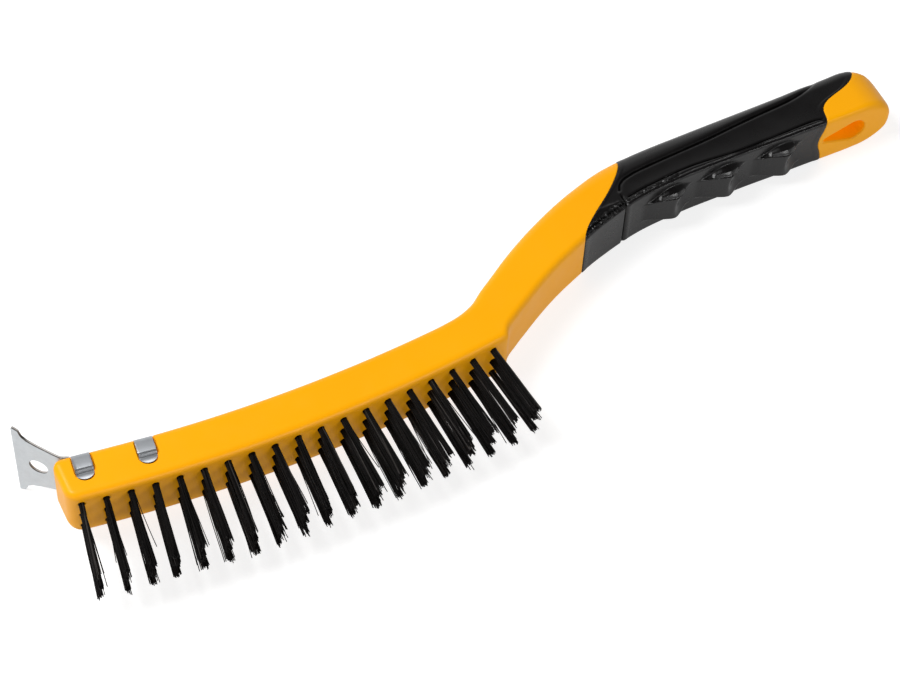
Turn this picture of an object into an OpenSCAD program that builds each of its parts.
// Long-handled wire scratch brush with a clip-on sheet-steel scraper.
// The brush lies on its flat side: +X runs from the scraper nose to the hanging
// end, -Y is the way the wire points, +Y is the back of the brush and +Z is the
// normal of the upper flat side.  The underside is the -Y side.  Z = 0 is the
// plane of symmetry.  The origin is the middle of the bristle face, at the root
// of the tenth tuft column.

/* [Wire field] */
// Number of tuft columns along the head
columns = 19; // [19:1:19]
// Number of tuft rows across the head
rows = 3; // [3:1:3]
// Distance between tuft columns along the bristle face
column_pitch = 8.6; // [8.4:0.1:8.7]
// Distance between tuft rows
row_pitch = 6.65; // [6.2:0.05:7]
// Radius of a tuft hole
hole_r = 1.3; // [1.1:0.05:1.4]
// Depth of a tuft hole below the bristle face
hole_depth = 11; // [9:0.5:12]
// Length of wire that stands clear of the bristle face
trim_length = 29; // [24:0.5:32]
// Radius of a tuft where it leaves its hole
tuft_root_r = 1.25; // [1.0:0.05:1.25]
// Radius of a tuft at its cut end, where the wires spread
tuft_tip_r = 1.9; // [1.4:0.05:2.4]

/* [Handle] */
// Radius of the arched bristle face, seen from the side
face_radius = 568; // [540:1:620]
// Half of the width of the head and handle, across the flat sides
half_width = 11.5; // [11:0.1:12.5]
// Radius along the long edges next to the bristle face
face_edge_r = 3; // [2:0.25:4]
// Radius along the long edges of the back of the grip
back_edge_r = 6.5; // [4:0.25:7]
// Wall thickness of the soft grip sleeve
sleeve_wall = 2.2; // [1.6:0.1:2.6]
// Radius of the wide end of the hanging slot
slot_big_r = 4.8; // [4:0.1:5]
// Radius of the narrow end of the hanging slot
slot_small_r = 0.9; // [0.8:0.1:2]
// Distance between the centres of the two ends of the hanging slot
slot_run = 12; // [10:0.5:13]

/* [Grip] */
// Height of each finger ridge below the underside of the grip
ridge_height = 4.5; // [3:0.1:4.8]
// Length of the ramp that leads up to each finger ridge
ridge_ramp = 12; // [10:0.5:14]

/* [Scraper] */
// Sheet thickness of the scraper
sheet = 1.0; // [0.8:0.1:1.2]
// Width of the scraping edge
blade_width = 38.5; // [36:0.5:44]
// Width of the blade at the foot of its shoulders
blade_root_width = 27; // [25:0.5:30]
// Length of the blade from the end of its bend to the scraping edge
blade_length = 15.9; // [15:0.1:18]
// Angle the blade is bent up from the strap
blade_angle = 40; // [35:1:60]
// Inner radius of the bend between the strap and the blade
bend_r = 6.2; // [4:0.1:6.6]
// Radius of the round hole in the blade
blade_hole_r = 3.6; // [2.5:0.1:4]
// Width of a crimped side tab
tab_width = 6.4; // [5:0.2:7]
// Length of a crimped side tab down the side of the head
tab_length = 11.5; // [9:0.5:12]

/* [Hidden] */

yellow = [0.98, 0.69, 0.02];
black = [0.14, 0.13, 0.13];
zinc = [0.72, 0.75, 0.78];
wire = [0.10, 0.09, 0.09];
steel = [0.45, 0.45, 0.46];

// ---- shared helpers -------------------------------------------------------
// Closed solid through rings that all have the same number of points.
module skin(rings, convexity) {
    n = len(rings[0]);
    m = len(rings);
    polyhedron(points = [for (ring = rings) each ring], faces = concat(
        [[for (j = [n - 1 : -1 : 0]) j]],
        [[for (j = [0 : n - 1]) (m - 1) * n + j]],
        [for (i = [0 : m - 2]) for (j = [0 : n - 1]) each
            [[i * n + j, (i + 1) * n + (j + 1) % n, (i + 1) * n + j],
             [i * n + j, i * n + (j + 1) % n, (i + 1) * n + (j + 1) % n]]]),
        convexity = convexity);
}

// The same points in reverse order, with the second coordinate negated.
function mirrored(points) =
    [for (i = [len(points) - 1 : -1 : 0]) [points[i][0], -points[i][1]]];

// ---- side profile of the moulding -----------------------------------------
function face_y(x) = face_radius - sqrt(face_radius * face_radius - x * x);
function face_angle(x) = asin(x / face_radius);

// Loft stations, seen from the side.  Columns: x, y and heading of the back
// edge; x, y and heading of the underside; edge radii of back and underside.
nose_x = -81.5;
stations = [
    [nose_x, 23.9, -8.5,  nose_x, face_y(nose_x), face_angle(nose_x), 3, face_edge_r],
    [-30, 18.35, -3.6,    -30, face_y(-30), face_angle(-30), 3, face_edge_r],
    [30, 17.9, 2.6,       30, face_y(30), face_angle(30), 3, face_edge_r],
    [60, 20.1, 5.5,       64, face_y(64), face_angle(64), 3, face_edge_r],
    [68.5, 21.3, 10,      77, face_y(77), face_angle(77), 3, face_edge_r],
    [73, 22.5, 18,        82.6, face_y(82.6), 10, 3, face_edge_r],
    [77, 24.2, 26,        85.2, 9.3, 50, 3, 2.5],
    [82.8, 28.4, 35,      91, 13.6, 34, 3, 2.5],
    [91.9, 34.6, 35,      99.5, 18.9, 32, 3.5, 2.5],
    [112.1, 46.8, 27.5,   119.5, 29.6, 23.5, 4, 2.5],
    [132.3, 56.1, 20.5,   138, 37.0, 17.5, 5, 2.0],
    [150, 61.75, 10,      151.5, 40.9, 13, back_edge_r, 1.6],
    [180, 64.1, 1.8,      180, 43.9, 2, back_edge_r, 1.6],
    [246, 65.85, 2.2,     246, 44.6, 0.6, 5.5, 1.8],
    [265, 66.6, 1.8,      265, 44.8, 0.6, 4.5, 3.2]];
back_column = 0;
under_column = 3;
back_r_column = 6;
under_r_column = 7;
last = len(stations) - 1;
nose_span = stations[1][0] - stations[0][0];
end_span = stations[last][0] - stations[last - 1][0];

// In the functions below, u is a place along the loft: its whole part is a
// station number and its fraction is the share of the way to the next one.

// Rounding of the two ends.  At the hanging end each side is a quarter ellipse
// with a run along the handle and a drop towards its middle.
nose_r = 3;
side_end_run = 14;
tip_half_width = 1.2;
back_end_round = 15.5;
under_end_round = 2.8;
function nose_inset(u) =
    let (g = max(0, nose_r - u * nose_span))
    u < 1 ? nose_r - sqrt(nose_r * nose_r - g * g) : 0;
function end_inset(u, run, drop) =
    let (past = (u - last + 1) * end_span - end_span + run,
         g = min(1, max(0, past / run)))
    drop * (1 - sqrt(1 - g * g));

// Hermite cubic between stations a and b along the edge that starts at column k.
function edge_point(a, b, k, t) =
    let (chord = norm([b[k] - a[k], b[k + 1] - a[k + 1]]),
         start_weight = 2 * t * t * t - 3 * t * t + 1,
         start_slope = t * t * t - 2 * t * t + t,
         end_weight = -2 * t * t * t + 3 * t * t,
         end_slope = t * t * t - t * t)
    start_weight * [a[k], a[k + 1]]
    + start_slope * chord * [cos(a[k + 2]), sin(a[k + 2])]
    + end_weight * [b[k], b[k + 1]]
    + end_slope * chord * [cos(b[k + 2]), sin(b[k + 2])];

// Edge radius, faded from station a to b and cut down where the end closes in.
min_edge_r = 0.8;
min_flat = 0.2;
function edge_radius(a, b, k, t, cut, half) =
    min(half - min_flat, max(min_edge_r, a[k] + (b[k] - a[k]) * t - cut));

// Quarter circle in four steps, as [z, height above the underside].
function corner(r, z, height, start) =
    [for (i = [0 : 4])
        [z + r * cos(start + 90 * i / 4), height + r * sin(start + 90 * i / 4)]];

// One cross-section: a rounded rectangle between the two edges, pulled in.
function section(u, inset) =
    let (all_in = inset + nose_inset(u),
         side_in = all_in + end_inset(u, side_end_run, half_width - tip_half_width),
         back_in = all_in + end_inset(u, back_end_round, back_end_round),
         under_in = all_in + end_inset(u, under_end_round, under_end_round),
         i = min(floor(u), last - 1), t = u - i,
         a = stations[i], b = stations[i + 1],
         back = edge_point(a, b, back_column, t),
         under = edge_point(a, b, under_column, t),
         height = norm(back - under), up = (back - under) / height,
         half = half_width - side_in,
         back_r = edge_radius(a, b, back_r_column, t, 0.75 * back_in, half),
         under_r = edge_radius(a, b, under_r_column, t, 0.4 * under_in, half),
         ring = concat(
             corner(under_r, half - under_r, under_in + under_r, -90),
             corner(back_r, half - back_r, height - back_in - back_r, 0),
             corner(back_r, -half + back_r, height - back_in - back_r, 90),
             corner(under_r, -half + under_r, under_in + under_r, 180)))
    [for (p = ring) [under[0] + up[0] * p[1], under[1] + up[1] * p[1], p[0]]];

module loft(places, inset) skin([for (u = places) section(u, inset)], 6);

// Four places per station, closer together where the two ends round off.
function quarters(first, final) =
    [for (k = [first : final]) each [k, k + 0.25, k + 0.5, k + 0.75]];
full_places = concat(
    [for (x = [0, 0.12, 0.45, 1.0, 1.8, 3]) x / nose_span], [0.3, 0.55, 0.8],
    quarters(1, last - 2),
    [for (g = [0, 0.2, 0.3, 0.4, 0.5, 0.6, 0.69, 0.77, 0.84, 0.9, 0.945, 0.98, 1])
        last - 1 + g]);
// Stretch of the handle that has a thinner core inside the sleeve.
inner_places = concat(quarters(9, 12), [13]);

// ---- grip sleeve outline, seen from the side ------------------------------
function bezier(p, t) =
    (1 - t) * (1 - t) * (1 - t) * p[0] + 3 * (1 - t) * (1 - t) * t * p[1]
    + 3 * (1 - t) * t * t * p[2] + t * t * t * p[3];

// Two Bezier curves end to end, without repeating the shared point.
function split_curve(first, second) = concat(
    [for (t = [0 : 0.125 : 1]) bezier(first, t)],
    [for (t = [0.125 : 0.125 : 1]) bezier(second, t)]);

// Mould split lines where the soft sleeve meets the hard handle, as [x, y].
start_line = concat(
    [[127.4, 25]],
    split_curve([[127.1, 31.5], [128.5, 37.5], [137.5, 42.5], [145.3, 49]],
                [[145.3, 49], [149.8, 53], [153.6, 56.5], [154.8, 60.6]]),
    [[155, 70]]);
end_line = concat(
    [[257, 70]],
    split_curve([[256.6, 63.6], [253.5, 56.5], [246, 56.5], [240.6, 54]],
                [[240.6, 54], [235.2, 51.4], [236.6, 48.5], [235.2, 44.6]]),
    [[234.4, 25]]);
module sleeve_zone()
    translate([0, 0, -30]) linear_extrude(60) polygon(concat(start_line, end_line));

// Rounds the nose corners, seen from the side; the rest clears the moulding.
nose_corner_r = 5;
nose_corner_x = nose_x + nose_corner_r;
nose_back_y = 18.3;
nose_under_y = 10.9;
module nose_envelope()
    translate([0, 0, -15]) linear_extrude(30) union() {
        translate([nose_corner_x, nose_back_y]) circle(r = nose_corner_r, $fn = 64);
        translate([nose_corner_x, nose_under_y]) circle(r = nose_corner_r, $fn = 64);
        polygon([[nose_x, nose_under_y], [nose_x, nose_back_y],
                 [nose_corner_x, nose_back_y + nose_corner_r],
                 [-60, 30], [254, 80], [270, 80], [270, 30], [90, -5], [-60, -5],
                 [nose_corner_x, nose_under_y - nose_corner_r]]);
    }

// Drop-shaped hanging slot, with its wide end towards the end of the handle.
slot_small_x = 236.2;
slot_big_x = slot_small_x + slot_run;
slot_cut_length = 80;
module slot_cut() {
    taper = asin((slot_big_r - slot_small_r) / slot_run);
    // where the straight sides touch the two round ends
    touch = [[slot_small_x - slot_small_r * sin(taper), slot_small_r * cos(taper)],
             [slot_big_x - slot_big_r * sin(taper), slot_big_r * cos(taper)]];
    rotate([90, 0, 0]) translate([0, 0, -90]) {
        translate([slot_big_x, 0, 0])
            cylinder(h = slot_cut_length, r = slot_big_r, $fn = 64);
        translate([slot_small_x, 0, 0])
            cylinder(h = slot_cut_length, r = slot_small_r, $fn = 32);
        linear_extrude(slot_cut_length) polygon(concat(touch, mirrored(touch)));
    }
}

// ---- tufts and their anchors ----------------------------------------------
anchor_width = 3.6;
anchor_sheet = 0.5;
anchor_height = 2.0;
hole_floor = hole_depth - anchor_height / 2; // depth of the round part of a hole
tuft_foot = hole_floor - 0.1;                // depth of the foot of a tuft
mid_column = (columns + 1) / 2;
mid_row = (rows + 1) / 2;

// Puts its children at the root of a tuft, with +Z pointing out along the wire.
module at_tuft(column, row) {
    angle = (column - mid_column) * column_pitch / face_radius * 180 / PI;
    translate([face_radius * sin(angle), face_radius * (1 - cos(angle)),
               (mid_row - row) * row_pitch])
        rotate([0, 0, angle]) rotate([90, 0, 0]) children();
}

// Anchor plate across the bottom of a hole, grown by gap on every side.
module anchor_shape(gap)
    translate([-anchor_width / 2 - gap, -anchor_sheet / 2 - gap, -hole_depth - gap])
        cube([anchor_width + 2 * gap, anchor_sheet + 2 * gap, anchor_height + 2 * gap]);

// ---- scraper and its seat -------------------------------------------------
// In the strap's frame, +X runs along the strap and Y = 0 is its outer face.
strap_x = -77.5;
strap_y = 23.35;
strap_angle = -6.9;
strap_length = 33.5;
strap_half = 6.5;
neck_half = 10.4;             // half width of the bend
tab_z = 11.75;                // outer face of a side tab
tab_starts = [3.2, 25.2];
tab_round_y = -tab_length + tab_width / 2;
module on_strap()
    translate([strap_x, strap_y, 0]) rotate([0, 0, strap_angle]) children();

// Clearances of the seat, and how far its cutters reach past the moulding.
seat_gap = 0.03;              // under the sheet
edge_gap = 0.05;              // beside the sheet
pocket_width = tab_width + 0.9;
cut_past_nose = 12;
cut_out = 4;
cut_half = 14;
module seat_cut() on_strap() {
    // seat of the strap and of its wide end at the nose
    translate([-cut_past_nose, -sheet - seat_gap, -strap_half - edge_gap])
        cube([strap_length + cut_past_nose + 0.1, cut_out, 2 * (strap_half + edge_gap)]);
    translate([-cut_past_nose, -sheet - seat_gap, -cut_half])
        cube([tab_starts[0] + cut_past_nose + edge_gap, cut_out, 2 * cut_half]);
    for (x = tab_starts) translate([x - edge_gap, 0, 0]) {
        translate([0, -sheet - seat_gap, -cut_half])
            cube([pocket_width, cut_out, 2 * cut_half]);
        // side pockets, each with a round foot
        for (side = [0, 1]) mirror([0, 0, side]) {
            translate([0, tab_round_y, tab_z - sheet - seat_gap])
                cube([pocket_width, tab_length, cut_out]);
            translate([pocket_width / 2, tab_round_y, tab_z - sheet - seat_gap])
                cylinder(h = cut_out, r = pocket_width / 2, $fn = 48);
        }
    }
}

// The blade's plane stays put when the bend radius changes.
bend_tangent = bend_r * tan(blade_angle / 2);
bend_x = bend_tangent + 0.67;
blade_hole_x = 9.4 - bend_tangent;
lap = 0.3;                    // overlap of the wide end of the strap with the bend

// Flat blade: X runs from the bend to the scraping edge.
module blade_plan() {
    edge = blade_width / 2;
    root = blade_root_width / 2;
    // one side of the outline, as [x, half width]
    side = [[-0.3, neck_half - 0.3], [0.6, neck_half + 0.3],
            [1.6, root - 2.4], [blade_length - 8.5, root - 0.9],
            [blade_length - 5, root + 0.3], [blade_length - 3.4, root + 1.9],
            [blade_length - 2.4, edge - 1.2], [blade_length, edge]];
    difference() {
        polygon(concat(side, mirrored(side)));
        translate([blade_hole_x, 0]) circle(r = blade_hole_r, $fn = 64);
    }
}

// ---- finger ridges --------------------------------------------------------
// A plane ramp up to a straight crest, then a steep hollow drop towards the
// hanging end; the sides lean in.
ridge_starts = [168.9, 192.0, 216.3];
ridge_y = 43.55;
ridge_y_step = 0.25;
foot_half = 5.1;              // half width of the foot of the ramp
base_half = 8.75;             // half width at the base
crest_half = 5.45;            // half width at the crest
crest_run = 1.7;              // length of ramp left at the crest
drop_half = 5.2;              // half width of the drop
crest_hollow = 0.7;           // hollow of the drop at the crest
drop_run = 9.5;               // reach of the drop's sides at the base
drop_mid_run = 5.0;           // reach of the drop's middle at the base

// Outline of a ridge at one level.  rise is the share of the full height and
// spread is the share of the full reach of the drop.
function ridge_ring(x, y, rise, spread) =
    let (g = max(0, rise),
         foot = [-ridge_ramp + (ridge_ramp - crest_run) * g, foot_half],
         shoulder = [1.2 * spread - 0.7, base_half - (base_half - crest_half) * g],
         tip = [drop_run * spread, drop_half],
         bulge = 0.4 * (1 - g),
         side = [foot, (foot + shoulder) / 2 + [0, 0.02 + bulge],
                 shoulder, (shoulder + tip) / 2 + [0, 0.05 + bulge]],
         drop = [for (z = [drop_half, 4, 2, 0, -2, -4, -drop_half])
             let (k = z * z / (drop_half * drop_half))
             [-crest_hollow * (1 - k) * (1 - spread)
              + (drop_mid_run + (drop_run - drop_mid_run) * k) * spread, z]])
    [for (p = concat(side, drop, mirrored(side)))
        [x + p[0], y - ridge_height * rise, p[1]]];

// Levels as [rise, spread]; the first is sunk into the grip.
ridge_levels = [[-0.28, 1], [0, 1], [0.1, 0.8], [0.5, 0.5], [0.9, 0.2], [1, 0.04]];
module ridge(x, y)
    skin([for (level = ridge_levels) ridge_ring(x, y, level[0], level[1])], 4);

// ---- nodes ----------------------------------------------------------------
module handle_core() color(yellow) difference() {
    union() {
        difference() {
            intersection() {
                loft(full_places, 0);
                nose_envelope();
            }
            sleeve_zone();
        }
        loft(inner_places, sleeve_wall);
    }
    slot_cut();
    seat_cut();
    for (c = [1 : columns]) for (r = [1 : rows]) at_tuft(c, r) {
        translate([0, 0, -hole_floor]) cylinder(h = hole_depth + 3, r = hole_r, $fn = 32);
        anchor_shape(0.01);
    }
}

module grip_overmould() color(black) difference() {
    union() {
        intersection() {
            difference() {
                loft(full_places, 0);
                loft(inner_places, sleeve_wall);
            }
            sleeve_zone();
        }
        for (i = [0 : 2]) ridge(ridge_starts[i], ridge_y + i * ridge_y_step);
    }
    slot_cut();
}

module scraper() color(zinc) on_strap() {
    // strap along the back, its wide end at the nose and the second tab bridge
    translate([tab_starts[0], -sheet, -strap_half])
        cube([strap_length - tab_starts[0], sheet, 2 * strap_half]);
    translate([bend_x - lap, -sheet, -tab_z])
        cube([tab_starts[0] + tab_width - bend_x + lap, sheet, 2 * tab_z]);
    translate([tab_starts[1], -sheet, -tab_z]) cube([tab_width, sheet, 2 * tab_z]);
    // side tabs, with rounded ends
    for (x = tab_starts) for (side = [0, 1]) mirror([0, 0, side])
        translate([x, 0, tab_z - sheet]) {
            translate([0, tab_round_y, 0])
                cube([tab_width, tab_length - tab_width / 2, sheet]);
            translate([tab_width / 2, tab_round_y, 0])
                cylinder(h = sheet, r = tab_width / 2, $fn = 48);
        }
    // bend up into the blade
    translate([bend_x, bend_r, 0]) rotate([0, 0, -90 - blade_angle])
        rotate_extrude(angle = blade_angle, $fn = 96)
            translate([bend_r, -neck_half]) square([sheet, 2 * neck_half]);
    translate([bend_x, bend_r, 0]) rotate([0, 0, -blade_angle]) translate([0, -bend_r, 0])
        rotate([90, 0, 0]) mirror([1, 0, 0]) linear_extrude(sheet) blade_plan();
}

module anchor_row(row) color(steel)
    for (c = [1 : columns]) at_tuft(c, row) anchor_shape(0);

// Each tuft is slotted to sit over its anchor.
module tuft_column(column) color(wire)
    for (r = [1 : rows]) at_tuft(column, r) difference() {
        union() {
            translate([0, 0, -tuft_foot]) cylinder(h = tuft_foot, r = tuft_root_r, $fn = 32);
            cylinder(h = trim_length, r1 = tuft_root_r, r2 = tuft_tip_r, $fn = 32);
        }
        anchor_shape(0.02);
    }

handle_core();
grip_overmould();
scraper();
anchor_row(1);  // anchor_row_upper
anchor_row(2);  // anchor_row_middle
anchor_row(3);  // anchor_row_lower
tuft_column(1);  // tuft_column_01
tuft_column(2);  // tuft_column_02
tuft_column(3);  // tuft_column_03
tuft_column(4);  // tuft_column_04
tuft_column(5);  // tuft_column_05
tuft_column(6);  // tuft_column_06
tuft_column(7);  // tuft_column_07
tuft_column(8);  // tuft_column_08
tuft_column(9);  // tuft_column_09
tuft_column(10);  // tuft_column_10
tuft_column(11);  // tuft_column_11
tuft_column(12);  // tuft_column_12
tuft_column(13);  // tuft_column_13
tuft_column(14);  // tuft_column_14
tuft_column(15);  // tuft_column_15
tuft_column(16);  // tuft_column_16
tuft_column(17);  // tuft_column_17
tuft_column(18);  // tuft_column_18
tuft_column(19);  // tuft_column_19
